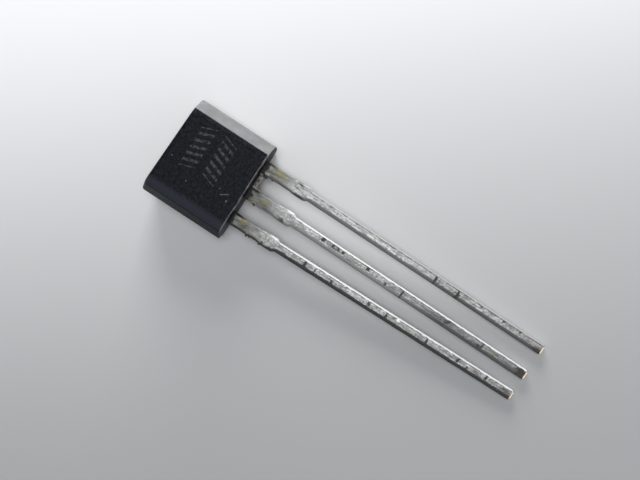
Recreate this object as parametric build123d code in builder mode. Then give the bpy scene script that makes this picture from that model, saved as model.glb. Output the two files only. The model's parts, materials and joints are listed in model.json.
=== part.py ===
from build123d import *
import os
from math import atan2, cos, degrees, radians, sin, tan

# Three-lead transistor in a short flat moulded body, lying on its back and its lead tips.
# Local frame of the device: x across the body, y from the leads to the top end, z out of the marked
# face, with the origin where the middle lead leaves the body, halfway through its thickness.

# Moulded body
body_width = 4.57
body_height = 3.83
front_depth = 1.14
back_depth = 1.14
front_lean = 22.0
back_lean = 8.0
shoulder_radius = 0.45
back_radius = 0.30
end_lean = 2.0
top_lean = 7.0
top_skew = 2.4
front_edge_radius = 0.15
back_edge_radius = 0.10

# Resin flash squeezed out between the base and emitter leads
flash_thickness = 0.16
flash_reach_base = 0.42
flash_reach_middle = 0.22
flash_reach_emitter = 0.30

# Stamped leads, outside the body
lead_pitch = 1.27
row_shift = 0.05
lead_length = 13.9
lead_width = 0.44
lead_thickness = 0.40
lead_edge_radius = 0.10
root_width = 0.56
root_length = 1.57
root_bury = 0.30
stub_width = 0.62
stub_length = 0.72
stub_slope = 0.16

# Lean of each thin lead in the plane of the frame, degrees, positive towards +x
collector_lean = 0.85
base_lean = -0.35
emitter_lean = -0.35

# Lead frame inside the body
neck_width = 0.50
paddle_left = -1.66
paddle_right = 0.52
paddle_bottom = 1.72
paddle_top = 3.32
base_head_width = 0.86
base_head_bottom = 0.74
base_head_top = 1.40
emitter_head_left = 0.92
emitter_head_right = 1.66
emitter_head_bottom = 1.36
emitter_head_top = 2.62
frame_corner_radius = 0.08

# Silicon die on its solder
solder_thickness = 0.03
solder_margin = 0.04
die_size = 1.10
die_thickness = 0.22
die_x = -0.56
die_y = 2.52

# Bond wires, each with a flat nail head on the die and a flattened foot on its lead
wire_diameter = 0.09
nail_diameter = 0.20
nail_height = 0.05
foot_length = 0.22
foot_width = 0.15
foot_height = 0.045
loop_height = 0.34
loop_crest_share = 0.35
base_pad_x = -0.56
base_pad_y = 2.18
base_foot_x = 0.0
base_foot_y = 1.12
emitter_pad_x = -0.30
emitter_pad_y = 2.72
emitter_foot_x = 1.26
emitter_foot_y = 2.20

# Rest pose: the device lies on the back's edge at the lead end and on the three lead tips
end_inset = back_depth * tan(radians(end_lean))
top_inset = back_depth * tan(radians(top_lean))
rest_rise = back_depth - lead_thickness / 2
rest_tilt = degrees(atan2(rest_rise, lead_length + end_inset))
tilt_cos = cos(radians(rest_tilt))
tilt_sin = sin(radians(rest_tilt))
seat_height = back_depth * tilt_cos - end_inset * tilt_sin

# The part's origin is on the ground under the middle of the whole length. Its far end is the parting
# ridge of the top end, or the back's edge if that reaches further.
half_width = body_width / 2
top_rise = half_width * tan(radians(top_skew))
ridge_reach = (body_height + top_rise) * tilt_cos
back_reach = (body_height + top_rise - top_inset) * tilt_cos + back_depth * tilt_sin
top_reach = max(ridge_reach, back_reach)
tip_reach = lead_length * tilt_cos + lead_thickness / 2 * tilt_sin
seat_y = (tip_reach - top_reach) / 2

device = Plane(origin=(0, seat_y, seat_height), x_dir=(1, 0, 0), z_dir=(0, -tilt_sin, tilt_cos))
cross_plane = Plane(origin=device.origin, x_dir=device.x_dir, z_dir=-device.y_dir)

collector_x = row_shift - lead_pitch
base_x = row_shift
emitter_x = row_shift + lead_pitch
frame_top = lead_thickness / 2
die_bottom = frame_top + solder_thickness
die_top = die_bottom + die_thickness


def at(x, y, z):
    """A point of the device's local frame, in the part's frame."""
    return device.from_local_coords(Vector(x, y, z))


def lead_outline(x, lean):
    """One lead from just inside the body to its tip: wide root, wider tie-bar stub, thin leg."""
    root = root_width / 2
    stub = stub_width / 2
    thin = lead_width / 2
    stub_start = -root_length
    stub_end = -root_length - stub_length
    shift = (lead_length + stub_end) * tan(radians(lean))
    left = [
        (x - root, root_bury),
        (x - root, stub_start + stub_slope),
        (x - stub, stub_start),
        (x - stub, stub_end + stub_slope),
        (x - thin, stub_end),
        (x - thin + shift, -lead_length),
    ]
    right = [
        (x + thin + shift, -lead_length),
        (x + thin, stub_end),
        (x + stub, stub_end + stub_slope),
        (x + stub, stub_start),
        (x + root, stub_start + stub_slope),
        (x + root, root_bury),
    ]
    return left + right


def runs_along(edge, direction):
    """Whether an edge runs within 30 degrees of a direction."""
    return abs(edge.tangent_at(0.5).dot(direction)) > cos(radians(30))


def outer_lead(x, lean):
    """The lead outside the body: a stamped strip with its long edges rounded by the tin."""
    with BuildPart(mode=Mode.PRIVATE) as lead:
        with BuildSketch(device.offset(-lead_thickness / 2)):
            Polygon(*lead_outline(x, lean), align=None)
        extrude(amount=lead_thickness)
        long_edges = [
            edge
            for edge in lead.edges()
            if not runs_along(edge, device.z_dir) and not runs_along(edge, device.x_dir)
        ]
        fillet(long_edges, radius=lead_edge_radius)
    return lead.part


# Collector lead: outer lead, neck and the paddle that carries the die
with BuildPart() as collector_lead:
    add(outer_lead(collector_x, collector_lean))
    with BuildSketch(device.offset(-lead_thickness / 2)) as collector_inner:
        with Locations((collector_x, (root_bury + paddle_bottom) / 2)):
            Rectangle(neck_width, paddle_bottom - root_bury)
        with Locations(((paddle_left + paddle_right) / 2, (paddle_bottom + paddle_top) / 2)):
            RectangleRounded(paddle_right - paddle_left, paddle_top - paddle_bottom, frame_corner_radius)
    extrude(amount=lead_thickness)

# Base lead: outer lead and a cross head below the paddle
with BuildPart() as base_lead:
    add(outer_lead(base_x, base_lean))
    with BuildSketch(device.offset(-lead_thickness / 2)) as base_inner:
        with Locations((base_x, (root_bury + base_head_bottom) / 2)):
            Rectangle(neck_width, base_head_bottom - root_bury)
        with Locations((base_x, (base_head_bottom + base_head_top) / 2)):
            RectangleRounded(base_head_width, base_head_top - base_head_bottom, frame_corner_radius)
    extrude(amount=lead_thickness)

# Emitter lead: outer lead, neck and a tall head beside the paddle
with BuildPart() as emitter_lead:
    add(outer_lead(emitter_x, emitter_lean))
    with BuildSketch(device.offset(-lead_thickness / 2)) as emitter_inner:
        with Locations((emitter_x, (root_bury + emitter_head_bottom) / 2)):
            Rectangle(neck_width, emitter_head_bottom - root_bury)
        emitter_head_y = (emitter_head_bottom + emitter_head_top) / 2
        with Locations(((emitter_head_left + emitter_head_right) / 2, emitter_head_y)):
            RectangleRounded(
                emitter_head_right - emitter_head_left,
                emitter_head_top - emitter_head_bottom,
                frame_corner_radius,
            )
    extrude(amount=lead_thickness)

# Solder film under the die
with BuildPart() as die_solder:
    with BuildSketch(device.offset(frame_top)):
        with Locations((die_x, die_y)):
            Rectangle(die_size + 2 * solder_margin, die_size + 2 * solder_margin)
    extrude(amount=solder_thickness)

# Silicon die
with BuildPart() as silicon_die:
    with BuildSketch(device.offset(die_bottom)):
        with Locations((die_x, die_y)):
            Rectangle(die_size, die_size)
    extrude(amount=die_thickness)


def bond_wire(pad_x, pad_y, foot_x, foot_y):
    """Nail head on the die, an arch of round wire, and a flattened foot on the lead's head."""
    start = at(pad_x, pad_y, die_top + nail_height / 2)
    finish = at(foot_x, foot_y, frame_top + foot_height / 2)
    run_x = foot_x - pad_x
    run_y = foot_y - pad_y
    crest_x = pad_x + run_x * loop_crest_share
    crest_y = pad_y + run_y * loop_crest_share
    crest = at(crest_x, crest_y, die_top + loop_height)
    rise = device.z_dir
    fall = at(run_x, run_y, 0) - at(0, 0, 0)
    turn = degrees(atan2(run_y, run_x))
    with BuildPart(mode=Mode.PRIVATE) as wire:
        with BuildLine() as route:
            Spline(start, crest, finish, tangents=(rise, fall))
        with BuildSketch(Plane(origin=start, z_dir=rise)):
            Circle(wire_diameter / 2)
        sweep(path=route.line)
        with BuildSketch(device.offset(die_top)):
            with Locations((pad_x, pad_y)):
                Circle(nail_diameter / 2)
        extrude(amount=nail_height)
        with BuildSketch(device.offset(frame_top)):
            with Locations(Location((foot_x, foot_y, 0), (0, 0, turn))):
                SlotOverall(foot_length, foot_width)
        extrude(amount=foot_height)
        split(bisect_by=device.offset(frame_top), keep=Keep.TOP)
    return wire.part


# Bond wires from the die to the base and emitter leads
with BuildPart() as base_bond_wire:
    add(bond_wire(base_pad_x, base_pad_y, base_foot_x, base_foot_y))

with BuildPart() as emitter_bond_wire:
    add(bond_wire(emitter_pad_x, emitter_pad_y, emitter_foot_x, emitter_foot_y))

# Moulded body, wide at the parting plane and narrow at the marked face. An edge within the seam band
# lies on the parting plane.
seam_band = 0.01
front_corner = half_width - front_depth * tan(radians(front_lean))
back_corner = half_width - back_depth * tan(radians(back_lean))


def end_plane(y, lean, skew, side):
    """An end of the body on one half of the mould: side is 1 for the front, -1 for the back."""
    outwards = at(tan(radians(skew)), 1, side * tan(radians(lean))) - at(0, 0, 0)
    return Plane(origin=at(0, y, 0), x_dir=device.x_dir, z_dir=outwards)


def top_end_edges(body, side):
    """Edges round the top end of one half of the mould: side is 1 for the front, -1 for the back."""
    chosen = []
    for edge in body.edges():
        ends = [device.to_local_coords(edge @ t) for t in (0, 0.5, 1)]
        at_top = all(end.Y > body_height / 2 for end in ends)
        if at_top and ends[1].Z * side > seam_band:
            chosen.append(edge)
    return chosen


with BuildPart() as moulded_body:
    with BuildSketch(cross_plane) as section:
        with BuildLine():
            FilletPolyline(
                (0, -back_depth),
                (back_corner, -back_depth),
                (half_width, 0),
                radius=back_radius,
            )
            FilletPolyline(
                (half_width, 0),
                (front_corner, front_depth),
                (0, front_depth),
                radius=shoulder_radius,
            )
            mirror(about=Plane.YZ)
        make_face()
    extrude(amount=-body_height - top_rise)

    # Both ends lean inwards from the parting plane, and the top end is a little out of square
    for side in (1, -1):
        split(bisect_by=end_plane(body_height, top_lean, top_skew, side), keep=Keep.BOTTOM)
        split(bisect_by=end_plane(0, end_lean, 0, -side), keep=Keep.TOP)

    # The top end has rounded edges, which run on down the two ridges of the parting plane, and the
    # lead end is sharp
    fillet(top_end_edges(moulded_body, 1), radius=front_edge_radius)
    fillet(top_end_edges(moulded_body, -1), radius=back_edge_radius)

    # Resin flash between the roots of the base and emitter leads
    base_side = base_x + root_width / 2
    emitter_side = emitter_x - root_width / 2
    flash_middle = (base_side + emitter_side) / 2
    with BuildSketch(device.offset(-flash_thickness / 2)) as flash:
        with BuildLine():
            Polyline((base_side, -flash_reach_base), (base_side, end_inset), (emitter_side, end_inset))
            Line((emitter_side, end_inset), (emitter_side, -flash_reach_emitter))
            ThreePointArc(
                (emitter_side, -flash_reach_emitter),
                (flash_middle, -flash_reach_middle),
                (base_side, -flash_reach_base),
            )
        make_face()
    extrude(amount=flash_thickness)

    # The resin fills the space round everything it holds
    add(collector_lead.part, mode=Mode.SUBTRACT)
    add(base_lead.part, mode=Mode.SUBTRACT)
    add(emitter_lead.part, mode=Mode.SUBTRACT)
    add(die_solder.part, mode=Mode.SUBTRACT)
    add(silicon_die.part, mode=Mode.SUBTRACT)
    add(base_bond_wire.part, mode=Mode.SUBTRACT)
    add(emitter_bond_wire.part, mode=Mode.SUBTRACT)

os.makedirs("parts", exist_ok=True)

moulded_body.part.label = "moulded_body"
export_step(moulded_body.part, "parts/moulded_body.step")

collector_lead.part.label = "collector_lead"
export_step(collector_lead.part, "parts/collector_lead.step")

base_lead.part.label = "base_lead"
export_step(base_lead.part, "parts/base_lead.step")

emitter_lead.part.label = "emitter_lead"
export_step(emitter_lead.part, "parts/emitter_lead.step")

die_solder.part.label = "die_solder"
export_step(die_solder.part, "parts/die_solder.step")

silicon_die.part.label = "silicon_die"
export_step(silicon_die.part, "parts/silicon_die.step")

base_bond_wire.part.label = "base_bond_wire"
export_step(base_bond_wire.part, "parts/base_bond_wire.step")

emitter_bond_wire.part.label = "emitter_bond_wire"
export_step(emitter_bond_wire.part, "parts/emitter_bond_wire.step")
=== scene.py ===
import json
import math

import bpy
import numpy as np
from bpy.props import FloatProperty, FloatVectorProperty, IntProperty, PointerProperty
from mathutils import Matrix, Vector


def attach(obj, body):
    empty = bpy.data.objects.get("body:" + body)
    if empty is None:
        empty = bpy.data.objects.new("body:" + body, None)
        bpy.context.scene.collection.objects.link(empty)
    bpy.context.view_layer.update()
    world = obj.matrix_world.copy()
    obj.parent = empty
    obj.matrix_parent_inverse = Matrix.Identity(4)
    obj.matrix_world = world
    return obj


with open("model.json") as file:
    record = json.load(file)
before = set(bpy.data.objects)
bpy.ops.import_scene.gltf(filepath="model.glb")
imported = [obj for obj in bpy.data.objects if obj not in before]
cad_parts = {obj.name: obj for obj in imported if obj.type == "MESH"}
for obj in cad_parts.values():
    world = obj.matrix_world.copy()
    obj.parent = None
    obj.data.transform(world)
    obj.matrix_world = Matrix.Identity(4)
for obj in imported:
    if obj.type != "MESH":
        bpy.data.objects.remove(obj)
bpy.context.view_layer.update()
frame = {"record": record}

bl_info = {
    "name": "Moulded Transistor",
    "version": (1, 0, 0),
    "blender": (4, 5, 0),
    "location": "3D View > Sidebar > Transistor",
    "description": "Finishes a three-lead moulded transistor: resin, tinned leads, print and stage",
    "category": "Object",
}

MM = 0.001

# Device frame, read from the record: origin where the middle lead leaves the body, y towards the top
MOUNTS = {mount["name"]: mount for mount in frame["record"]["mounts"]}
BACK_AXIS = MOUNTS["back_face"]["axis"]
TILT = math.atan2(BACK_AXIS[1], -BACK_AXIS[2])
ORIGIN_MM = np.array(MOUNTS["lead_row"]["pos_m"]) / MM

# Sizes of the device, in millimetres
FRONT_DEPTH = 1.14
LEAD_PITCH = 1.27
LEAD_LENGTH = 13.9
LEAD_WIDTH = 0.44
LEAD_THICKNESS = 0.40
LEAD_CORNER = 0.10
ROOT_WIDTH = 0.56
ROOT_LENGTH = 1.57
STUB_WIDTH = 0.62
STUB_LENGTH = 0.72
STUB_SLOPE = 0.16
STUB_END = ROOT_LENGTH + STUB_LENGTH

# Each lead: place across, lean to the right in degrees, seed of its noise, strength of the shade on
# its left side, how grey that shade is by the body and by the tip, shine of its right edge, and
# dullness of its root
LEADS = {
    "collector": {
        "x": -LEAD_PITCH,
        "lean": 0.85,
        "seed": 11,
        "shade": 1.0,
        "shade_tones": (0.0, 0.0),
        "shine": 1.0,
        "dull": 0.9,
    },
    "base": {
        "x": 0.0,
        "lean": -0.35,
        "seed": 23,
        "shade": 0.85,
        "shade_tones": (0.85, 0.22),
        "shine": 1.0,
        "dull": 1.0,
    },
    "emitter": {
        "x": LEAD_PITCH,
        "lean": -0.35,
        "seed": 37,
        "shade": 0.8,
        "shade_tones": (0.50, 0.25),
        "shine": 0.5,
        "dull": 1.0,
    },
}

# Bands over which the body's finishes change, in millimetres in the device frame: across for the side
# walls, their right half with its painted light and the painted bluish sheen on the left shoulder,
# along for the walls' foot, the lead end and the flash, and up for the painted reflection on the lead
# end's front edge and the front itself
WALL_BAND = (1.87, 1.90)
RIGHT_BAND = (-0.1, 0.1)
SHEEN_BAND = (1.35, 1.72)
WALL_FOOT_BAND = (0.02, 0.06)
LEAD_END_BAND = (0.043, 0.050)
FLASH_BAND = (-0.04, -0.01)
END_REFLECTION_BAND = (0.77, 0.89)
FRONT_BAND = (FRONT_DEPTH - 0.06, FRONT_DEPTH - 0.03)
# How far the grain moves the edge of the walls and of the band of painted reflection on the lead end
WALL_WOBBLE = 0.03
END_REFLECTION_WOBBLE = 0.3

# Print on the front, rows of slanted strokes: each row's place up the front and its slant, then the
# rows' sizes, a stroke's half breadth as a fading band, and the fades at a row's edges and ends
PRINT_ROWS = ((2.60, 0.35), (1.56, -0.35))
PRINT_HALF_HEIGHT = 0.35
PRINT_MIDDLE = 0.57
PRINT_HALF_LENGTH = 0.93
PRINT_PITCH = 0.31
STROKE_BAND = (0.045, 0.08)
ROW_FADE = 0.04
SPAN_FADE = 0.02

# Specks of dust: place across and up, half length, half breadth and turn in degrees, then the margin
# round each, how softly it fades, and how much it covers
SPECKS = (
    (-0.66, 0.45, 0.03, 0.03, 0),
    (-0.47, 0.66, 0.19, 0.01, -58),
    (-0.86, 2.30, 0.02, 0.02, 0),
    (-0.36, 0.95, 0.02, 0.02, 0),
    (-0.27, 3.35, 0.02, 0.02, 0),
)
SPECK_MARGIN = 0.02
SPECK_FADE = 0.04
SPECK_COVER = 0.8

# The tin starts just inside the resin, leaves the cut tip bare and clears the ground
COAT_BURY = 0.01
BARE_TIP = 0.05
FLOOR_GAP = 0.001

# Cells of the noise on the tin, across, along and up: two kinds of streak with their shares of the
# lumps, the wobble of every edge, and the blots of tarnish
STREAKS = (((0.12, 0.55, 0.12), 0.6), ((0.06, 0.16, 0.06), 0.4))
WOBBLE_CELL = (0.15, 0.15, 0.15)
BLOT_CELL = (0.12, 0.4, 0.12)
DEEPEST_STREAK = -0.3
# Blots: gain of their noise, what is taken off it, and the most that is left
BLOT_GAIN = 2.2
BLOT_LOSS = 1.2
BLOT_MOST = 0.5

# Stains on each lead: distance from the body, half length, side from -1 left to 1 right, half width
# of the stain as a share of the lead's, and strength
DARK_STAINS = {
    "collector": [
        (1.45, 0.35, -0.95, 0.3, 1.0),
        (2.10, 0.15, -0.7, 0.3, 0.9),
        (3.65, 0.07, 0.0, 1.2, 1.0),
        (4.19, 0.05, 0.3, 0.4, 0.7),
        (4.96, 0.06, -0.2, 0.5, 0.7),
        (6.70, 0.24, -0.8, 0.4, 0.9),
        (6.80, 0.07, 0.2, 0.6, 0.6),
        (7.67, 0.06, 0.1, 0.5, 0.8),
        (8.05, 0.05, -0.7, 0.4, 1.0),
        (9.69, 0.06, 0.0, 1.2, 0.9),
        (11.20, 0.06, 0.2, 0.5, 0.7),
        (11.65, 0.05, -0.3, 0.5, 0.7),
        (12.60, 0.07, 0.3, 0.5, 0.8),
        (13.60, 0.25, 0.2, 0.9, 0.45),
    ],
    "base": [
        (1.80, 0.20, -0.8, 0.4, 0.6),
        (4.30, 0.50, 0.4, 0.6, 0.32),
        (3.75, 0.10, 0.5, 0.4, 0.8),
        (4.24, 0.06, 0.5, 0.4, 0.8),
        (4.49, 0.05, 0.5, 0.3, 0.8),
        (4.75, 0.05, 0.4, 0.4, 0.8),
        (5.97, 0.08, 0.4, 0.5, 0.8),
        (6.90, 0.08, -0.3, 0.4, 0.7),
        (7.74, 0.06, 0.0, 1.2, 0.9),
        (9.65, 0.75, 0.1, 0.9, 0.34),
        (9.95, 0.20, 0.3, 0.5, 0.55),
        (11.58, 0.10, -0.2, 0.5, 0.9),
        (11.72, 0.04, 0.3, 0.8, 0.8),
        (13.65, 0.28, 0.0, 1.0, 0.8),
    ],
    "emitter": [
        (1.85, 0.25, -0.9, 0.35, 1.0),
        (1.75, 0.20, 0.9, 0.3, 0.7),
        (8.58, 0.05, 0.0, 1.2, 0.8),
        (9.30, 0.25, -0.2, 0.6, 0.30),
        (9.66, 0.07, 0.0, 1.2, 0.9),
        (10.80, 0.07, 0.7, 0.4, 0.8),
        (11.90, 0.06, 0.7, 0.4, 0.8),
        (12.70, 0.06, 0.6, 0.4, 0.8),
        (13.70, 0.30, -0.6, 0.5, 0.8),
    ],
}
OLIVE_STAINS = {
    "collector": [
        (0.50, 0.32, 0.6, 0.5, 0.8),
        (8.77, 0.08, 0.2, 0.5, 0.7),
        (9.15, 0.08, 0.0, 0.6, 0.7),
    ],
    "base": [
        (0.45, 0.28, -0.8, 0.4, 1.0),
        (0.80, 0.22, 0.2, 0.7, 0.7),
        (12.20, 0.35, 0.1, 0.7, 0.6),
    ],
    "emitter": [
        (0.75, 0.34, 0.4, 0.6, 0.9),
    ],
}
# Bright nicks, in the same terms as the stains: real nicks whose glint is painted white with the painted
# highlight
NICKS = {"collector": [(8.22, 0.07, 0.75, 0.28, 1.0)], "base": [], "emitter": []}
# How far the wobble moves a stain along the lead and across it, and how strong the dark ones come out
STAIN_WOBBLE = (0.06, 0.3)
DARK_STRENGTH = 1.35
# The dark ones fade from the sides to the underside: upward facing where they end, and its length
TOP_FACING = (-1 / 2, 1 / 3)

# Crumbs of dirt on the left side of a lead: distance from the body, half length and height, then the
# height from which a crumb is wholly black
CRUMBS = {
    "collector": ((0.91, 0.05, 0.09), (1.05, 0.03, 0.05), (1.55, 0.04, 0.05)),
    "base": ((0.49, 0.05, 0.08), (0.42, 0.03, 0.05)),
    "emitter": ((0.22, 0.05, 0.10), (0.30, 0.06, 0.12), (0.60, 0.04, 0.05)),
}
BLACK_CRUMB = 0.03

# Brightness of the tin along each lead: distances from the body, then shares of the full brightness
TONES = {
    "collector": (
        (0.0, 2.3, 3.0, 5.0, 9.0, 13.9),
        (0.63, 0.63, 0.68, 0.68, 0.77, 0.95),
    ),
    "base": (
        (0.0, 2.3, 3.3, 4.2, 6.0, 7.5, 9.5, 11.0, 12.0, 13.9),
        (0.68, 0.68, 0.72, 0.56, 0.6, 0.54, 0.34, 0.41, 0.53, 0.48),
    ),
    "emitter": (
        (0.0, 2.3, 3.5, 7.0, 8.5, 9.7, 10.5, 12.0, 13.9),
        (0.85, 0.75, 0.86, 0.8, 0.65, 0.66, 0.85, 0.92, 0.74),
    ),
}

# Shade painted on the left side of each lead: how far across it reaches at two distances from the
# body, its fade and wobble, and the stretch over which it turns from its first grey to its second
SHADE_REACH = ((1.8, 2.4), (-0.72, -0.26))
SHADE_FADE = 0.08
SHADE_WOBBLE = 0.06
SHADE_TURN = (7.0, 9.5)

# Shine painted on the right edge: the side where it starts, its fade and wobble, the distance where
# it starts and the length over which it rises, and the same for the weaker share on the root
SHINE_SIDE = 0.77
SHINE_FADE = 0.07
SHINE_WOBBLE = 0.05
SHINE_START = 1.6
SHINE_RISE = 0.3
ROOT_SHINE_START = 0.35
ROOT_SHINE_RISE = 0.25
ROOT_SHINE = 0.45

# The root is dull as far as its length, and the last part of that fades. The black resin has bled
# along each root, with a fade and wobble of its own
DULL_LENGTH = 1.9
DULL_FADE = 1.2
DULL_WOBBLE = 0.2
RESIN_BLEED = {"collector": 0.13, "base": 0.20, "emitter": 0.20}
BLEED_FADE = 0.16
BLEED_WOBBLE = 0.6

# Noise of the finishes, on millimetres: scale, detail and roughness
GRAIN_NOISE = (8.0, 6.0, 0.75)
MOTTLE_NOISE = (2.2, 5.0, 0.6)
WEAR_NOISE = (7.0, 6.0, 0.7)
CLOUD_NOISE = (11.0, 5.0, 0.65)
SPECKLE_NOISE = (10.0, 5.0, 0.7)
FINE_NOISE = (18.0, 4.0, 0.7)
COPPER_NOISE = (14.0, 4.0, 0.6)
INNER_NOISE = (20.0, 3.0, 0.5)
# The cloud on the tin is drawn out along the lead by this scale
CLOUD_STRETCH = (1.0, 0.22, 1.0)

# Spans of that noise over which the first tone of a finish gives way to its second
FACE_SPAN = (0.38, 0.66)
WALL_SPAN = (0.3, 0.8)
END_REFLECTION_SPAN = (0.42, 0.52)
WEAR_SPAN = (0.38, 0.60)
FLASH_SPAN = (0.40, 0.62)
TIN_SPAN = (0.35, 0.62)
SPOT_SPAN = (0.50, 0.62)
GRIME_SPAN = (0.35, 0.60)
COPPER_SPAN = (0.3, 0.7)

# Tones of the finishes that aren't settings
FACE_GRAIN = (0.015, 0.016, 0.022)
# Painted sheen: a bluish reflection painted on the left shoulder
PAINTED_SHOULDER_SHEEN = (0.040, 0.044, 0.058)
BLACK_WALL = (0.010, 0.011, 0.015)
# Painted light: the pale grey of the lit right wall
PAINTED_WALL_LIGHT_PALE = (0.29, 0.29, 0.292)
# Painted reflection: the pale grey of the lead end's front edge
PAINTED_END_REFLECTION = (0.36, 0.36, 0.365)
DUST = (0.22, 0.22, 0.22)
FLASH_TONES = ((0.08, 0.074, 0.062), (0.42, 0.40, 0.36))
TIN_STREAK = (0.095, 0.095, 0.093)
TIN_LEAST = (0.03, 0.03, 0.03)
TIN_SPOT = (0.045, 0.044, 0.040)
GRIME_TONES = ((0.012, 0.011, 0.009), (0.052, 0.052, 0.046))
SHADE_TONES = ((0.016, 0.016, 0.019), (0.30, 0.30, 0.295))
# Painted highlight: the white line on each lead's right edge
PAINTED_HIGHLIGHT_WHITE = (0.95, 0.95, 0.95)
BLED_RESIN = (0.014, 0.013, 0.012)
COPPER_STREAK = (0.34, 0.28, 0.19)

# Layers on the tin from the lowest up: stored strength, noise that breaks it up, the span over which
# it comes in, and how much it covers. The bled resin lies over them and over the shine
TIN_LAYERS = (
    ("dull", "cloud", (0.2, 0.9), 0.9),
    ("flux", "speckle", (0.3, 0.9), 0.6),
    ("shade", "speckle", (0.15, 0.75), 0.9),
    ("tarnish", "fine", (0.30, 0.85), 0.9),
)
BLEED_SPAN = (0.20, 0.90)
# How strongly noise breaks up a layer, and how much the fine spots cover
BREAK_UP = 1.6
SPOT_COVER = 0.75
# How metallic bare tin is, how much of the shade counts as cover, how much metal a full cover takes
# away, how much rougher the speckle and a full cover make the tin, and the same finish of the copper
TIN_METAL = 0.85
SHADE_SHARE = 0.8
COVER_SHARE = 0.9
SPECKLE_ROUGHNESS = 0.30
COVER_ROUGHNESS = 0.5
COPPER_METAL = 0.8
COPPER_ROUGHNESS = 0.3

# Fine bumps: height in metres, weight of the coarser noise against the finer, and strength on the tin
RESIN_BUMP = 0.000010
RESIN_MOTTLE_SHARE = 3.0
TIN_BUMP = 0.000006
TIN_CLOUD_SHARE = 2.0
TIN_BUMP_STRENGTH = 0.4
# How far the grain carries the resin's roughness from its lowest to its highest
GRAIN_ROUGHNESS = 0.16

# Floor, in metres: half its side, the way the light comes from along the ground, how far the floor's
# painted fall-off of the light reaches each way, how softly it reaches its palest, the power of that
# fall-off, the stretch over which it starts to glow a little with painted light, out of the lamps'
# reach, the glow's colour, and its roughness
FLOOR_HALF = 0.4
LIGHT_WAY = (0.744, 0.669)
FLOOR_FADE = 0.012
PALEST_SOFTNESS = 0.3
FADE_POWER = 2.0
GLOW_STRETCH = (0.018, 0.150)
PAINTED_FLOOR_GLOW = (0.60, 0.60, 0.605)
FLOOR_ROUGHNESS = 0.7

# What is seen past the floor, the point the lamps face, their tints, the camera's film and reach, and
# the least length of a line that still tells which way is level
PALE_BACKDROP = (0.86, 0.86, 0.86)
LAMP_AIM = (0.0, 0.002, 0.0)
KEY_TINT = (1.0, 1.0, 1.0)
TOP_TINT = (0.97, 0.98, 1.0)
FILM_WIDTH = 36.0
CAMERA_REACH = (0.0005, 10.0)
LEAST_LEVEL = 1e-6


def to_world(points):
    """Device frame in millimetres to the part's frame in metres: turned about x by the tilt."""
    cosine, sine = math.cos(TILT), math.sin(TILT)
    turned = np.stack(
        [
            points[..., 0],
            points[..., 1] * cosine - points[..., 2] * sine,
            points[..., 1] * sine + points[..., 2] * cosine,
        ],
        axis=-1,
    )
    return (turned + (0.0, ORIGIN_MM[1], ORIGIN_MM[2])) * MM


def lattice(cells, seed):
    """A value from 0 to 1 for each whole-number cell: its coordinates mixed by odd multipliers."""
    mixed = cells[..., 0] * 374761393 + cells[..., 1] * 668265263 + cells[..., 2] * 1274126177
    mixed = (mixed + seed * 974711) & 0xFFFFFFFF
    mixed = ((mixed ^ (mixed >> 13)) * 1103515245) & 0xFFFFFFFF
    mixed = mixed ^ (mixed >> 16)
    return (mixed & 0xFFFF) / 65535.0


def value_noise(points, cell, seed):
    """Smooth noise from -1 to 1: the eight corners of each cell blended by 3t squared - 2t cubed."""
    scaled = points / np.asarray(cell, float)
    low = np.floor(scaled).astype(np.int64)
    part = scaled - low
    part = part * part * (3 - 2 * part)
    total = np.zeros(points.shape[:-1])
    for corner in np.ndindex(2, 2, 2):
        step = np.array(corner)
        weight = np.prod(np.where(step == 1, part, 1 - part), axis=-1)
        total += weight * lattice(low + step, seed)
    return total * 2 - 1


def rise(values, start, length):
    """0 up to the start, then straight up to 1 over the length."""
    return np.clip((values - start) / length, 0, 1)


def new_mesh_object(name, vertices, faces, smooth=True):
    """A mesh object at the origin from an array of vertices in metres and a list of faces."""
    mesh = bpy.data.meshes.new(name)
    mesh.from_pydata(vertices.reshape(-1, 3).tolist(), [], faces)
    mesh.polygons.foreach_set("use_smooth", np.full(len(mesh.polygons), smooth))
    mesh.update()
    piece = bpy.data.objects.new(name, mesh)
    bpy.context.scene.collection.objects.link(piece)
    return piece


def tube_faces(rows, around):
    """Faces of a closed tube: quads along it, and one flat many-sided face at each end."""
    row, turn = np.meshgrid(np.arange(rows - 1), np.arange(around), indexing="ij")
    a = row * around + turn
    b = row * around + (turn + 1) % around
    quads = np.stack([a, b, b + around, a + around], axis=-1).reshape(-1, 4).tolist()
    first_cap = list(range(around))[::-1]
    last_cap = list(range((rows - 1) * around, rows * around))
    return quads + [first_cap, last_cap]


def set_attribute(piece, name, values):
    """Store one number for each vertex."""
    attribute = piece.data.attributes.new(name, "FLOAT", "POINT")
    attribute.data.foreach_set("value", np.ascontiguousarray(values.reshape(-1), dtype=np.float32))


def new_material(name):
    """A material with only its output and a Principled shader: the material, its tree and the shader."""
    material = bpy.data.materials.new(name)
    material.use_nodes = True
    tree = material.node_tree
    tree.nodes.clear()
    output = tree.nodes.new("ShaderNodeOutputMaterial")
    shader = tree.nodes.new("ShaderNodeBsdfPrincipled")
    tree.links.new(shader.outputs["BSDF"], output.inputs["Surface"])
    return material, tree, shader


def feed(tree, socket, value):
    """Link an input to another node's socket, or set it to a plain value."""
    if isinstance(value, bpy.types.NodeSocket):
        tree.links.new(value, socket)
    else:
        socket.default_value = value


def add_node(tree, kind, inputs=None, **settings):
    """One node with its settings, and its inputs given as values or as sockets to link."""
    node = tree.nodes.new(kind)
    for key, value in settings.items():
        setattr(node, key, value)
    for key, value in (inputs or {}).items():
        feed(tree, node.inputs[key], value)
    return node


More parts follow.
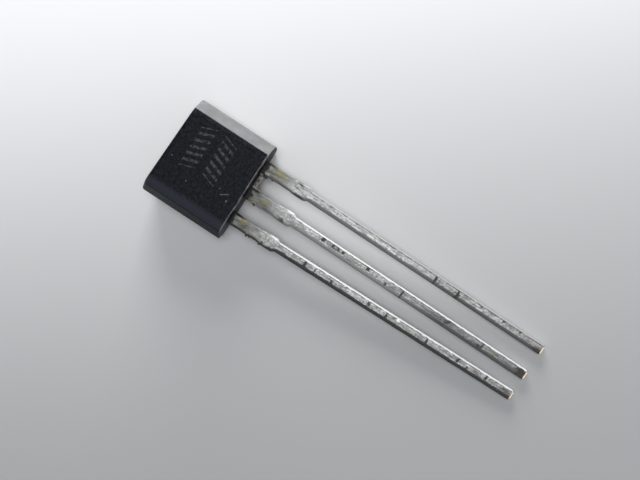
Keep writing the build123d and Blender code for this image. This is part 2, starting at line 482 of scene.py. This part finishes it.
def math_node(tree, operation, first, second=0.0, third=None, clamp=False):
    """A Math node's output socket."""
    inputs = {0: first, 1: second}
    if third is not None:
        inputs[2] = third
    return add_node(tree, "ShaderNodeMath", inputs, operation=operation, use_clamp=clamp).outputs[0]


def product(tree, first, *others):
    """All the values multiplied."""
    for other in others:
        first = math_node(tree, "MULTIPLY", first, other)
    return first


def largest(tree, first, *others):
    """The largest of the values."""
    for other in others:
        first = math_node(tree, "MAXIMUM", first, other)
    return first


def opposite(tree, value):
    """1 less the value."""
    return math_node(tree, "SUBTRACT", 1.0, value)


def colour(value):
    """Red, green and blue with full alpha. A socket stays as it is."""
    return value if isinstance(value, bpy.types.NodeSocket) else (*value, 1.0)


def mix_colour(tree, factor, first, second):
    """Blend two colours by a factor, each a value or a socket."""
    node = tree.nodes.new("ShaderNodeMix")
    node.data_type = "RGBA"
    feed(tree, node.inputs[0], factor)
    feed(tree, node.inputs[6], colour(first))
    feed(tree, node.inputs[7], colour(second))
    return node.outputs[2]


def ramp(tree, value, low, high):
    """0 below low, 1 above high, smooth between."""
    node = add_node(
        tree,
        "ShaderNodeMapRange",
        {"Value": value, "From Min": low, "From Max": high, "To Min": 0.0, "To Max": 1.0},
        interpolation_type="SMOOTHSTEP",
    )
    return node.outputs["Result"]


def within(tree, value, middle, half, soft):
    """1 where a value is within half of the middle, falling to 0 over the soft edge."""
    away = math_node(tree, "ABSOLUTE", math_node(tree, "SUBTRACT", value, middle))
    return opposite(tree, ramp(tree, away, half - soft, half))


def device_coordinates(tree):
    """Object coordinates turned into the device frame, in millimetres."""
    cosine, sine = math.cos(TILT), math.sin(TILT)
    y, z = ORIGIN_MM[1:]
    shift = (0.0, -(y * cosine + z * sine), -(-y * sine + z * cosine))
    source = add_node(tree, "ShaderNodeTexCoord")
    mapping = add_node(
        tree,
        "ShaderNodeMapping",
        {
            "Vector": source.outputs["Object"],
            "Location": shift,
            "Rotation": (-TILT, 0.0, 0.0),
            "Scale": (1 / MM, 1 / MM, 1 / MM),
        },
    )
    return mapping.outputs["Vector"]


def noise(tree, vector, scale, detail, roughness):
    """A Noise texture's single value."""
    node = add_node(
        tree,
        "ShaderNodeTexNoise",
        {"Vector": vector, "Scale": scale, "Detail": detail, "Roughness": roughness},
    )
    return node.outputs["Fac"]


def add_relief(tree, shader, strength, height, relief):
    """Fine bumps on a finish, up to the height in metres."""
    bump = add_node(tree, "ShaderNodeBump", {"Strength": strength, "Distance": height, "Height": relief})
    tree.links.new(bump.outputs["Normal"], shader.inputs["Normal"])


class ResinSettings(bpy.types.PropertyGroup):
    face_colour: FloatVectorProperty(
        name="Resin",
        description="Black resin of the faces",
        subtype="COLOR",
        default=(0.0012, 0.0014, 0.0026),
    )
    # Painted light: the right side wall is painted pale grey where the lamp lights it
    right_wall_painted_light: FloatVectorProperty(
        name="Right wall",
        description="Frosted resin of the right side wall",
        subtype="COLOR",
        default=(0.22, 0.22, 0.222),
    )
    print_colour: FloatVectorProperty(
        name="Print",
        description="Worn grey marks on the front",
        subtype="COLOR",
        default=(0.075, 0.077, 0.080),
    )
    gloss_roughness: FloatProperty(
        name="Roughness",
        description="Roughness of the resin",
        default=0.45,
        min=0.0,
        max=1.0,
        subtype="FACTOR",
    )
    gloss: FloatProperty(
        name="Gloss",
        description="Strength of the resin's shine",
        default=0.05,
        min=0.0,
        max=1.0,
        subtype="FACTOR",
    )
    grain: FloatProperty(
        name="Grain",
        description="Strength of the fine moulded grain",
        default=0.35,
        min=0.0,
        max=1.0,
        subtype="FACTOR",
    )


class LeadSettings(bpy.types.PropertyGroup):
    tin_colour: FloatVectorProperty(
        name="Tin",
        description="Dulled tin of the leads",
        subtype="COLOR",
        default=(0.22, 0.22, 0.216),
    )
    dark_colour: FloatVectorProperty(
        name="Tarnish",
        description="Black tarnish and dirt",
        subtype="COLOR",
        default=(0.035, 0.032, 0.028),
    )
    olive_colour: FloatVectorProperty(
        name="Flux",
        description="Yellow-olive flux stain",
        subtype="COLOR",
        default=(0.085, 0.078, 0.030),
    )
    copper_colour: FloatVectorProperty(
        name="Copper",
        description="Copper of the cut lead tips",
        subtype="COLOR",
        default=(0.62, 0.55, 0.42),
    )
    tin_roughness: FloatProperty(
        name="Roughness",
        description="Roughness of the tin",
        default=0.20,
        min=0.0,
        max=1.0,
        subtype="FACTOR",
    )
    coat: FloatProperty(
        name="Coat",
        description="Thickness of the tin in millimetres",
        default=0.004,
        min=0.002,
        max=0.03,
    )
    lumps: FloatProperty(
        name="Lumps",
        description="Height of the tin's unevenness in millimetres",
        default=0.006,
        min=0.0,
        max=0.04,
    )
    rows: IntProperty(name="Rows", description="Rings along a lead", default=900, min=50, max=2000)
    around: IntProperty(name="Around", description="Points round a lead", default=48, min=12, max=96)


class StageSettings(bpy.types.PropertyGroup):
    # The floor's two colours paint the lamp's fall-off: palest towards the lamp, darker away from it
    floor_colour: FloatVectorProperty(
        name="Floor",
        description="Pale floor towards the lamp",
        subtype="COLOR",
        default=(1.0, 1.0, 1.0),
    )
    far_floor_painted_shade: FloatVectorProperty(
        name="Far floor",
        description="Pale floor away from the lamp",
        subtype="COLOR",
        default=(0.43, 0.43, 0.43),
    )
    world_colour: FloatVectorProperty(
        name="World",
        description="Dim light all round",
        subtype="COLOR",
        default=(0.11, 0.12, 0.135),
    )
    key_power: FloatProperty(
        name="Key",
        description="Power of the low soft lamp",
        default=0.092,
        min=0.0,
        unit="POWER",
    )
    key_size: FloatProperty(
        name="Key size",
        description="Side of the low soft lamp",
        default=0.05,
        unit="LENGTH",
    )
    key_place: FloatVectorProperty(
        name="Key place",
        description="Middle of the low soft lamp",
        default=(0.078, 0.055, 0.034),
        unit="LENGTH",
    )
    top_power: FloatProperty(
        name="Top",
        description="Power of the lamp overhead",
        default=0.26,
        min=0.0,
        unit="POWER",
    )
    top_size: FloatProperty(
        name="Top size",
        description="Side of the lamp overhead",
        default=0.10,
        unit="LENGTH",
    )
    top_place: FloatVectorProperty(
        name="Top place",
        description="Middle of the lamp overhead",
        default=(0.020, -0.010, 0.22),
        unit="LENGTH",
    )
    camera_distance: FloatProperty(
        name="Distance",
        description="Camera to the point it looks at",
        default=0.04197,
        unit="LENGTH",
    )
    camera_azimuth: FloatProperty(
        name="Azimuth",
        description="Direction the camera looks from",
        default=math.radians(46.83),
        subtype="ANGLE",
    )
    camera_elevation: FloatProperty(
        name="Elevation",
        description="Height of the camera over the ground",
        default=math.radians(82.86),
        subtype="ANGLE",
    )
    camera_roll: FloatProperty(
        name="Roll",
        description="Turn of the camera about its own line",
        default=math.radians(-103.53),
        subtype="ANGLE",
    )
    camera_aim: FloatVectorProperty(
        name="Aim",
        description="Point the camera looks at",
        default=(0.00003, 0.00135, 0.001),
        unit="LENGTH",
    )
    camera_lens: FloatProperty(name="Lens", description="Focal length in millimetres", default=56.25)


def print_mask(tree, x, y):
    """Rows of slanted strokes: x leant by the slant, folded back and forth at each half pitch."""
    marks = 0.0
    for row_y, slant in PRINT_ROWS:
        in_row = within(tree, y, row_y, PRINT_HALF_HEIGHT, ROW_FADE)
        leant = math_node(tree, "MULTIPLY_ADD", math_node(tree, "SUBTRACT", y, row_y), slant, x)
        step = math_node(
            tree, "PINGPONG", math_node(tree, "SUBTRACT", leant, PRINT_MIDDLE), PRINT_PITCH / 2
        )
        stroke = opposite(tree, ramp(tree, step, *STROKE_BAND))
        in_span = within(tree, leant, PRINT_MIDDLE, PRINT_HALF_LENGTH, SPAN_FADE)
        marks = largest(tree, marks, product(tree, in_row, stroke, in_span))
    return marks


def speck_mask(tree, x, y):
    """Small specks of dust and one short scratch on the front, each a soft turned rectangle."""
    specks = 0.0
    for speck_x, speck_y, half_length, half_breadth, turn in SPECKS:
        cosine, sine = math.cos(math.radians(turn)), math.sin(math.radians(turn))
        dx = math_node(tree, "SUBTRACT", x, speck_x)
        dy = math_node(tree, "SUBTRACT", y, speck_y)
        along = math_node(tree, "MULTIPLY_ADD", dx, cosine, product(tree, dy, sine))
        over = math_node(tree, "MULTIPLY_ADD", dy, cosine, product(tree, dx, -sine))
        in_length = within(tree, along, 0.0, half_length + SPECK_MARGIN, SPECK_FADE)
        in_breadth = within(tree, over, 0.0, half_breadth + SPECK_MARGIN, SPECK_FADE)
        specks = largest(tree, specks, product(tree, in_length, in_breadth))
    return specks


def face_and_wall_colour(tree, settings, x, y, grain, mottle):
    """Grained black faces, a painted bluish sheen on the left shoulder, a black left wall and a right one
    painted a pale, lit grey.
    """
    wobbled = math_node(tree, "MULTIPLY_ADD", grain, WALL_WOBBLE, math_node(tree, "ABSOLUTE", x))
    wall = product(tree, ramp(tree, wobbled, *WALL_BAND), ramp(tree, y, *WALL_FOOT_BAND))
    right = ramp(tree, x, *RIGHT_BAND)
    # Painted sheen: a bluish reflection painted on the left shoulder
    painted_sheen = ramp(tree, product(tree, x, -1.0), *SHEEN_BAND)
    face = mix_colour(tree, ramp(tree, grain, *FACE_SPAN), settings.face_colour, FACE_GRAIN)
    face = mix_colour(tree, painted_sheen, face, PAINTED_SHOULDER_SHEEN)
    face = mix_colour(tree, wall, face, BLACK_WALL)
    # Painted light: the right half of the walls is painted a pale mottled grey where the lamp lights it
    painted_wall_light = mix_colour(tree, ramp(tree, mottle, *WALL_SPAN), settings.right_wall_painted_light, PAINTED_WALL_LIGHT_PALE)
    return mix_colour(tree, product(tree, wall, right), face, painted_wall_light)


def painted_end_reflection_mask(tree, y, z, grain, mottle):
    """Painted reflection: the front edge of the end that the leads leave, painted pale and broken up by
    noise.
    """
    lead_end = opposite(tree, ramp(tree, y, *LEAD_END_BAND))
    edge = ramp(tree, math_node(tree, "MULTIPLY_ADD", grain, END_REFLECTION_WOBBLE, z), *END_REFLECTION_BAND)
    return product(tree, lead_end, edge, ramp(tree, mottle, *END_REFLECTION_SPAN))


def resin_material(settings):
    """Black moulded epoxy: grain, the walls with painted light on the right one, a painted reflection on the
    lead end's front edge, worn print, dust and brown flash.
    """
    material, tree, shader = new_material("black_resin")
    place = device_coordinates(tree)
    x, y, z = add_node(tree, "ShaderNodeSeparateXYZ", {"Vector": place}).outputs
    grain = noise(tree, place, *GRAIN_NOISE)
    mottle = noise(tree, place, *MOTTLE_NOISE)

    base = face_and_wall_colour(tree, settings, x, y, grain, mottle)
    # Painted reflection: the lead end's front edge is painted pale
    base = mix_colour(tree, painted_end_reflection_mask(tree, y, z, grain, mottle), base, PAINTED_END_REFLECTION)

    front = ramp(tree, z, *FRONT_BAND)
    worn = ramp(tree, noise(tree, place, *WEAR_NOISE), *WEAR_SPAN)
    marks = product(tree, print_mask(tree, x, y), worn, front)
    base = mix_colour(tree, marks, base, settings.print_colour)
    specks = product(tree, speck_mask(tree, x, y), front, SPECK_COVER)
    base = mix_colour(tree, specks, base, DUST)

    # The thin flash, the only resin past the lead end, is brown
    outside = opposite(tree, ramp(tree, y, *FLASH_BAND))
    brown = mix_colour(tree, ramp(tree, grain, *FLASH_SPAN), *FLASH_TONES)
    base = mix_colour(tree, outside, base, brown)
    tree.links.new(base, shader.inputs["Base Color"])

    lowest = settings.gloss_roughness - GRAIN_ROUGHNESS / 2
    rough = math_node(tree, "MULTIPLY_ADD", grain, GRAIN_ROUGHNESS, lowest)
    tree.links.new(rough, shader.inputs["Roughness"])
    relief = math_node(tree, "MULTIPLY_ADD", mottle, RESIN_MOTTLE_SHARE, grain)
    add_relief(tree, shader, settings.grain, RESIN_BUMP, relief)
    shader.inputs["Specular IOR Level"].default_value = settings.gloss
    return material


def read_attribute(tree, name):
    """The number that a tin coat stores for each vertex."""
    return add_node(tree, "ShaderNodeAttribute", attribute_name=name).outputs["Fac"]


def blotch(tree, name, breaker, low, high):
    """A stored strength broken up by noise: none below low, full above high."""
    centred = math_node(tree, "SUBTRACT", breaker, 0.5)
    broken = math_node(tree, "MULTIPLY_ADD", centred, BREAK_UP, read_attribute(tree, name))
    return ramp(tree, broken, low, high)


def tin_material(settings):
    """Dulled tin: mottled metal under layers of grime, flux, painted shade, tarnish, a painted highlight and
    bled resin.
    """
    material, tree, shader = new_material("tinned_copper")
    place = device_coordinates(tree)
    drawn_out = add_node(tree, "ShaderNodeMapping", {"Vector": place, "Scale": CLOUD_STRETCH}).outputs[0]
    cloud = noise(tree, drawn_out, *CLOUD_NOISE)
    speckle = noise(tree, place, *SPECKLE_NOISE)
    fine = noise(tree, place, *FINE_NOISE)

    # Bright tin, mottled in streaks and in fine spots
    bright = mix_colour(tree, ramp(tree, cloud, *TIN_SPAN), TIN_STREAK, settings.tin_colour)
    bright = mix_colour(tree, read_attribute(tree, "tone"), TIN_LEAST, bright)
    spots = product(tree, ramp(tree, speckle, *SPOT_SPAN), SPOT_COVER)
    base = mix_colour(tree, spots, bright, TIN_SPOT)

    breakers = {"cloud": cloud, "speckle": speckle, "fine": fine}
    tints = {
        "dull": mix_colour(tree, ramp(tree, cloud, *GRIME_SPAN), *GRIME_TONES),
        "flux": settings.olive_colour,
        "shade": mix_colour(tree, read_attribute(tree, "shade_tone"), *SHADE_TONES),
        "tarnish": settings.dark_colour,
    }
    layers = {}
    for name, breaker, span, cover in TIN_LAYERS:
        layers[name] = blotch(tree, name, breakers[breaker], *span)
        base = mix_colour(tree, product(tree, layers[name], cover), base, tints[name])
    # Painted highlight: the shine is a white line painted on the right edge
    shine = read_attribute(tree, "shine")
    base = mix_colour(tree, shine, base, PAINTED_HIGHLIGHT_WHITE)
    bleed = blotch(tree, "bleed", fine, *BLEED_SPAN)
    base = mix_colour(tree, bleed, base, BLED_RESIN)
    tree.links.new(base, shader.inputs["Base Color"])

    # What covers the tin is rougher and hardly metal, and the painted shine is no metal at all
    covered = largest(tree, layers["tarnish"], bleed, product(tree, layers["shade"], SHADE_SHARE))
    plain = largest(tree, product(tree, covered, COVER_SHARE), shine)
    metal = math_node(tree, "SUBTRACT", TIN_METAL, plain, clamp=True)
    tree.links.new(metal, shader.inputs["Metallic"])
    rough = math_node(tree, "MULTIPLY_ADD", speckle, SPECKLE_ROUGHNESS, settings.tin_roughness)
    rough = math_node(tree, "MULTIPLY_ADD", covered, COVER_ROUGHNESS, rough)
    tree.links.new(rough, shader.inputs["Roughness"])
    relief = math_node(tree, "MULTIPLY_ADD", cloud, TIN_CLOUD_SHARE, fine)
    add_relief(tree, shader, TIN_BUMP_STRENGTH, TIN_BUMP, relief)
    return material


def copper_material(settings):
    """Copper alloy of the lead frame, seen only at the cut tips."""
    material, tree, shader = new_material("lead_frame_copper")
    cloud = noise(tree, device_coordinates(tree), *COPPER_NOISE)
    base = mix_colour(tree, ramp(tree, cloud, *COPPER_SPAN), COPPER_STREAK, settings.copper_colour)
    tree.links.new(base, shader.inputs["Base Color"])
    shader.inputs["Metallic"].default_value = COPPER_METAL
    rough = math_node(tree, "MULTIPLY_ADD", cloud, COPPER_ROUGHNESS, COPPER_ROUGHNESS)
    tree.links.new(rough, shader.inputs["Roughness"])
    return material


def inner_material(name, dark, light, metallic, roughness):
    """A sealed inner piece: two tones mixed by fine noise."""
    material, tree, shader = new_material(name)
    cloud = noise(tree, device_coordinates(tree), *INNER_NOISE)
    tree.links.new(mix_colour(tree, cloud, dark, light), shader.inputs["Base Color"])
    shader.inputs["Metallic"].default_value = metallic
    shader.inputs["Roughness"].default_value = roughness
    return material


def assign(name, material):
    """Give a CAD node one material for all its faces."""
    piece = bpy.data.objects[name]
    piece.data.materials.clear()
    piece.data.materials.append(material)


def half_width(distance):
    """Half the lead's width at a distance from the body: root, wider stub, then the thin leg."""
    marks = [0, ROOT_LENGTH - STUB_SLOPE, ROOT_LENGTH, STUB_END - STUB_SLOPE, STUB_END, LEAD_LENGTH]
    widths = [ROOT_WIDTH, ROOT_WIDTH, STUB_WIDTH, STUB_WIDTH, LEAD_WIDTH, LEAD_WIDTH]
    return np.interp(distance, marks, widths) / 2


def ring_shape(around):
    """The round of a rounded rectangle, counter-clockwise from the right side's foot, in eight stretches.

    Returns the corner centre's place across and up, each from -1 to 1, and the outward direction.
    """
    stretch = np.linspace(0, 8, around, endpoint=False)
    ends = np.arange(9)
    across = np.interp(stretch, ends, [1, 1, 1, -1, -1, -1, -1, 1, 1])
    up = np.interp(stretch, ends, [-1, 1, 1, 1, 1, -1, -1, -1, -1])
    turn = np.interp(stretch, ends, np.radians([0, 0, 90, 90, 180, 180, 270, 270, 360]))
    return across, up, turn


def crumb_heights(crumbs, distance, turn):
    """Height of the dirt on the left side of a lead.

    Each crumb is e to the minus square of its distance over its half length, times the square of how
    far left the surface faces.
    """
    leftness = np.clip(-np.cos(turn), 0, 1) ** 2
    heights = np.zeros_like(distance)
    for middle, half_length, height in crumbs:
        heights = np.maximum(heights, height * np.exp(-(((distance - middle) / half_length) ** 2)) * leftness)
    return heights


def stain_field(stains, distance, side, wobble):
    """Strength of a list of stains, the strongest at each place.

    Each stain is e to the minus square of its scaled distance along the lead, less the fourth power of
    its scaled distance across it.
    """
    wobble_along, wobble_across = STAIN_WOBBLE
    field = np.zeros_like(distance)
    for centre, half_length, across, spread, strength in stains:
        along = (distance + wobble * wobble_along - centre) / half_length
        sideways = (side - across + wobble * wobble_across) / spread
        field = np.maximum(field, strength * np.exp(-(along**2) - sideways**4))
    return field


def lead_marks(name, flat, distance, side, turn, crumb):
    """The numbers that the tin's material reads, from 0 to 1 or a little over, for each vertex."""
    lead = LEADS[name]
    wobble = value_noise(flat, WOBBLE_CELL, lead["seed"] + 2)

    # Tarnish: stains on the top and the sides, faint blots all round, and the crumbs
    on_top = rise(np.sin(turn), *TOP_FACING)
    blots = value_noise(flat, BLOT_CELL, lead["seed"] + 3) * BLOT_GAIN - BLOT_LOSS
    blots = np.clip(blots, 0, BLOT_MOST)
    stains = DARK_STRENGTH * stain_field(DARK_STAINS[name], distance, side, wobble) * on_top
    tarnish = np.maximum(np.maximum(stains, blots), np.clip(crumb / BLACK_CRUMB, 0, 1))

    left_edge = np.interp(distance, *SHADE_REACH)
    left = np.clip((left_edge - side + SHADE_WOBBLE * wobble) / SHADE_FADE, 0, 1)

    root_shine = ROOT_SHINE * rise(distance, ROOT_SHINE_START, ROOT_SHINE_RISE)
    shine = lead["shine"] * np.maximum(rise(distance, SHINE_START, SHINE_RISE), root_shine)
    shine = shine * rise(side + SHINE_WOBBLE * wobble, SHINE_SIDE, SHINE_FADE)

    root_left = DULL_LENGTH - distance + DULL_WOBBLE * wobble
    bleed_left = RESIN_BLEED[name] * (1 + BLEED_WOBBLE * wobble) - distance
    return {
        "tone": np.interp(distance, *TONES[name]),
        "tarnish": tarnish,
        "flux": stain_field(OLIVE_STAINS[name], distance, side, wobble),
        "shade": lead["shade"] * left,
        "shade_tone": np.interp(distance, SHADE_TURN, lead["shade_tones"]),
        "shine": np.maximum(shine, stain_field(NICKS[name], distance, side, wobble)),
        "dull": lead["dull"] * np.clip(root_left / DULL_FADE, 0, 1),
        "bleed": np.clip(bleed_left / BLEED_FADE + 0.5, 0, 1),
    }


def tin_coat(name, settings, material):
    """The tin on one lead: a rounded rectangle carried along it, as a closed tube.

    The corner centres lie at half the width and half the thickness, each less the corner's radius.
    The surface stands off from them by the radius, the coat, lumps of two streaky noises and the
    crumbs. Past the stub the middle moves sideways by the distance times the lean's tangent.
    """
    lead = LEADS[name]
    across, up, turn = ring_shape(settings.around)
    row_places = np.linspace(-COAT_BURY, LEAD_LENGTH - BARE_TIP, settings.rows)
    distance = np.repeat(row_places[:, None], settings.around, axis=1)
    lean = math.tan(math.radians(lead["lean"]))
    centre = ORIGIN_MM[0] + lead["x"] + np.maximum(distance - STUB_END, 0) * lean
    core_x = across * (half_width(distance) - LEAD_CORNER)
    core_z = up * (LEAD_THICKNESS / 2 - LEAD_CORNER)

    # The lead's bare surface, straight and untilted, carries the noise
    flat_x = core_x + LEAD_CORNER * np.cos(turn)
    flat_z = core_z + LEAD_CORNER * np.sin(turn)
    flat = np.stack([flat_x, -distance, np.broadcast_to(flat_z, distance.shape)], axis=-1)
    streak = sum(
        share * value_noise(flat, cell, lead["seed"] + step) for step, (cell, share) in enumerate(STREAKS)
    )
    crumb = crumb_heights(CRUMBS[name], distance, turn)
    reach = LEAD_CORNER + settings.coat + settings.lumps * np.clip(streak, DEEPEST_STREAK, 1.0) + crumb
    x = core_x + reach * np.cos(turn)
    z = core_z + reach * np.sin(turn)
    world = to_world(np.stack([centre + x, -distance, z], axis=-1))
    world[..., 2] = np.maximum(world[..., 2], FLOOR_GAP * MM)

    piece = new_mesh_object(f"{name}_tin", world, tube_faces(settings.rows, settings.around))
    side = x / half_width(distance)
    for mark, values in lead_marks(name, flat, distance, side, turn, crumb).items():
        set_attribute(piece, mark, values)
    piece.data.materials.append(material)
    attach(piece, "root")


class TRANSISTOR_OT_resin(bpy.types.Operator):
    """Finish the moulded body"""

    bl_idname = "transistor.resin"
    bl_label = "Finish the resin"

    def execute(self, context):
        assign("moulded_body", resin_material(context.scene.transistor_resin))
        return {"FINISHED"}


class TRANSISTOR_OT_lead_frame(bpy.types.Operator):
    """Finish the copper of the three leads"""

    bl_idname = "transistor.lead_frame"
    bl_label = "Finish the lead frame"

    def execute(self, context):
        material = copper_material(context.scene.transistor_leads)
        for name in LEADS:
            assign(f"{name}_lead", material)
        return {"FINISHED"}


class TRANSISTOR_OT_tin(bpy.types.Operator):
    """Make the tin coat of each lead"""

    bl_idname = "transistor.tin"
    bl_label = "Coat the leads with tin"

    def execute(self, context):
        settings = context.scene.transistor_leads
        material = tin_material(settings)
        for name in LEADS:
            tin_coat(name, settings, material)
        return {"FINISHED"}


class TRANSISTOR_OT_sealed_pieces(bpy.types.Operator):
    """Finish the die, its solder and the bond wires"""

    bl_idname = "transistor.sealed_pieces"
    bl_label = "Finish the sealed pieces"

    def execute(self, context):
        silicon = inner_material("silicon", (0.10, 0.11, 0.14), (0.16, 0.17, 0.21), 0.3, 0.15)
        solder = inner_material("solder", (0.45, 0.45, 0.43), (0.6, 0.6, 0.58), 0.9, 0.4)
        wire = inner_material("bond_wire", (0.7, 0.7, 0.71), (0.85, 0.85, 0.86), 1.0, 0.3)
        assign("silicon_die", silicon)
        assign("die_solder", solder)
        assign("base_bond_wire", wire)
        assign("emitter_bond_wire", wire)
        return {"FINISHED"}


def facing_matrix(place, back, roll):
    """Place and turn of something that looks along minus its z axis, with back as its z direction."""
    z_axis = Vector(back).normalized()
    level = Vector((0, 0, 1)).cross(z_axis)
    # Something straight above its aim has no level line of its own, so the x axis is taken
    x_axis = level.normalized() if level.length > LEAST_LEVEL else Vector((1, 0, 0))
    y_axis = z_axis.cross(x_axis)
    turn = Matrix((x_axis, y_axis, z_axis)).transposed()
    turn = turn @ Matrix.Rotation(roll, 3, "Z")
    return Matrix.Translation(Vector(place)) @ turn.to_4x4()


def soft_lamp(name, place, size, power, tint):
    """A square area lamp at a point, facing the lamps' common aim."""
    lamp = bpy.data.lights.new(name, "AREA")
    lamp.shape = "SQUARE"
    lamp.size = size
    lamp.energy = power
    lamp.color = tint
    holder = bpy.data.objects.new(name, lamp)
    bpy.context.scene.collection.objects.link(holder)
    holder.matrix_world = facing_matrix(place, np.array(place) - np.array(LAMP_AIM), 0.0)


def floor_material(settings):
    """Pale floor with painted light: darker the further it lies from the lamp, with a slight painted glow far
    out.
    """
    material, tree, shader = new_material("pale_floor")
    source = add_node(tree, "ShaderNodeTexCoord").outputs["Object"]
    # Painted light: the floor's colour darkens away from the lamp
    towards = add_node(
        tree, "ShaderNodeVectorMath", {0: source, 1: (*LIGHT_WAY, 0.0)}, operation="DOT_PRODUCT"
    ).outputs["Value"]
    nearness = largest(tree, math_node(tree, "MULTIPLY_ADD", towards, 0.5 / FLOOR_FADE, 0.5), 0.0)
    nearness = math_node(tree, "SMOOTH_MIN", nearness, 1.0, PALEST_SOFTNESS)
    nearness = math_node(tree, "POWER", nearness, FADE_POWER)
    base = mix_colour(tree, nearness, settings.far_floor_painted_shade, settings.floor_colour)
    tree.links.new(base, shader.inputs["Base Color"])
    shader.inputs["Roughness"].default_value = FLOOR_ROUGHNESS
    # Painted glow: far out the floor gives off a little light of its own
    far = add_node(tree, "ShaderNodeVectorMath", {0: source}, operation="LENGTH").outputs["Value"]
    shader.inputs["Emission Color"].default_value = colour(PAINTED_FLOOR_GLOW)
    tree.links.new(ramp(tree, far, *GLOW_STRETCH), shader.inputs["Emission Strength"])
    return material


def make_floor(settings):
    """One flat square on the ground."""
    half = FLOOR_HALF
    corners = np.array([[-half, -half, 0], [half, -half, 0], [half, half, 0], [-half, half, 0]])
    floor = new_mesh_object("floor", corners, [[0, 1, 2, 3]], smooth=False)
    floor.data.materials.append(floor_material(settings))


def make_world(scene, settings):
    """Even dim light all round, which looks pale past the floor and in what mirrors or shows it."""
    world = bpy.data.worlds.new("studio")
    world.use_nodes = True
    tree = world.node_tree
    background = tree.nodes["Background"]
    path = add_node(tree, "ShaderNodeLightPath").outputs
    seen = largest(tree, path["Is Camera Ray"], path["Is Glossy Ray"], path["Is Transmission Ray"])
    tint = mix_colour(tree, seen, settings.world_colour, PALE_BACKDROP)
    tree.links.new(tint, background.inputs["Color"])
    background.inputs["Strength"].default_value = 1.0
    scene.world = world


def make_camera(scene, settings):
    """The camera, at its distance from its aim on the way given by azimuth and elevation."""
    camera_data = bpy.data.cameras.new("camera")
    camera_data.lens = settings.camera_lens
    camera_data.sensor_width = FILM_WIDTH
    camera_data.clip_start, camera_data.clip_end = CAMERA_REACH
    camera = bpy.data.objects.new("camera", camera_data)
    scene.collection.objects.link(camera)
    azimuth, elevation = settings.camera_azimuth, settings.camera_elevation
    back = np.array(
        [
            math.sin(azimuth) * math.cos(elevation),
            -math.cos(azimuth) * math.cos(elevation),
            math.sin(elevation),
        ]
    )
    place = np.array(settings.camera_aim) + back * settings.camera_distance
    camera.matrix_world = facing_matrix(place, back, settings.camera_roll)
    scene.camera = camera


class TRANSISTOR_OT_stage(bpy.types.Operator):
    """Make the floor, the lamps, the world and the camera"""

    bl_idname = "transistor.stage"
    bl_label = "Set the stage"

    def execute(self, context):
        scene = context.scene
        settings = scene.transistor_stage
        scene.view_settings.view_transform = "Standard"
        make_floor(settings)
        make_world(scene, settings)
        soft_lamp("key", settings.key_place, settings.key_size, settings.key_power, KEY_TINT)
        soft_lamp("top", settings.top_place, settings.top_size, settings.top_power, TOP_TINT)
        make_camera(scene, settings)
        return {"FINISHED"}


class TRANSISTOR_PT_panel(bpy.types.Panel):
    """Steps that finish the transistor"""

    bl_idname = "TRANSISTOR_PT_panel"
    bl_label = "Transistor"
    bl_space_type = "VIEW_3D"
    bl_region_type = "UI"
    bl_category = "Transistor"

    def draw(self, context):
        for step in STEPS:
            self.layout.operator(step.bl_idname)
        for group in GROUPS:
            settings = getattr(context.scene, group)
            box = self.layout.box()
            for name in settings.bl_rna.properties.keys():
                if name not in {"rna_type", "name"}:
                    box.prop(settings, name)


STEPS = (
    TRANSISTOR_OT_resin,
    TRANSISTOR_OT_lead_frame,
    TRANSISTOR_OT_tin,
    TRANSISTOR_OT_sealed_pieces,
    TRANSISTOR_OT_stage,
)
GROUPS = {
    "transistor_resin": ResinSettings,
    "transistor_leads": LeadSettings,
    "transistor_stage": StageSettings,
}


def register():
    """Add the settings, the steps and the panel."""
    for name, group in GROUPS.items():
        bpy.utils.register_class(group)
        setattr(bpy.types.Scene, name, PointerProperty(type=group))
    for step in STEPS:
        bpy.utils.register_class(step)
    bpy.utils.register_class(TRANSISTOR_PT_panel)


def unregister():
    """Take them away again, in the opposite order."""
    bpy.utils.unregister_class(TRANSISTOR_PT_panel)
    for step in reversed(STEPS):
        bpy.utils.unregister_class(step)
    for name, group in GROUPS.items():
        delattr(bpy.types.Scene, name)
        bpy.utils.unregister_class(group)


def main():
    """Finish the transistor step by step."""
    register()
    bpy.ops.transistor.resin()
    bpy.ops.transistor.lead_frame()
    bpy.ops.transistor.tin()
    bpy.ops.transistor.sealed_pieces()
    bpy.ops.transistor.stage()


if __name__ == "__main__":
    main()
